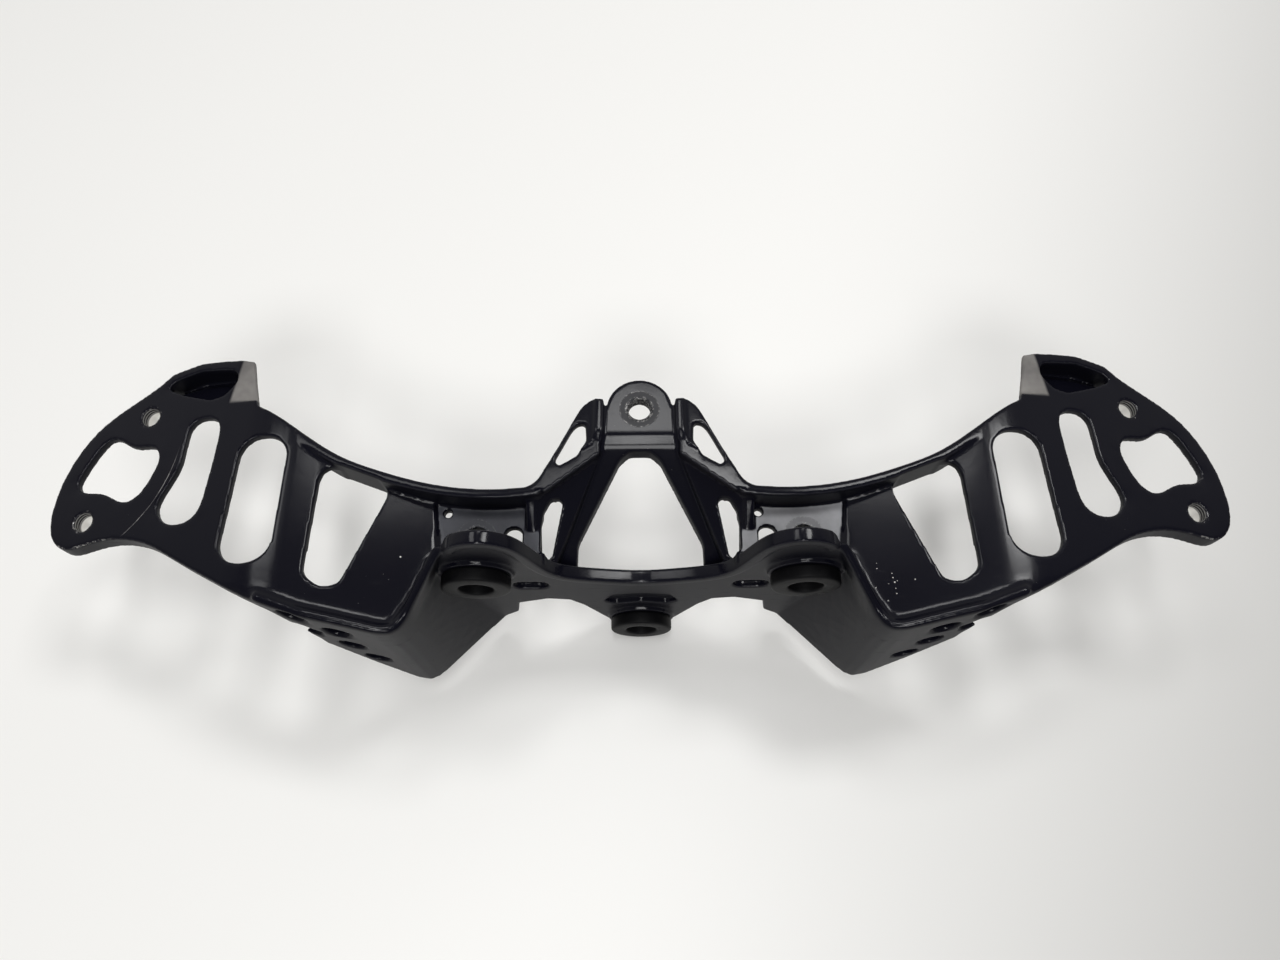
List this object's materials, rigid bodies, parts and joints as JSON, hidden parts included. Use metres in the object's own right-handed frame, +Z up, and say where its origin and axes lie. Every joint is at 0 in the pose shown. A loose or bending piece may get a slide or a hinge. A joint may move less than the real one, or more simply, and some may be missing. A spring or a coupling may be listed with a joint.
{
  "type": "fairing stay",
  "caption": "Wide black cast motorbike bracket with two slotted wings, an arched bolt bridge and an upright front plate holding rubber grommets, for a fairing, mirrors and headlamp.",
  "frame": {"origin": "midway between the two pad bolt holes, on the face their bolt heads bear on", "axes": "+X across the stay, +Y to the rear away from the headlamp, +Z up along the fixing bolts"},
  "size_m": [0.4864, 0.1198, 0.1241],
  "materials": {
    "black_paint": "satin",
    "black_rubber": "matte"
  },
  "bodies": {
    "root": {"stay_casting": "black_paint", "grommet_left": "black_rubber", "grommet_right": "black_rubber", "grommet_centre": "black_rubber"}
  },
  "joints": []
}
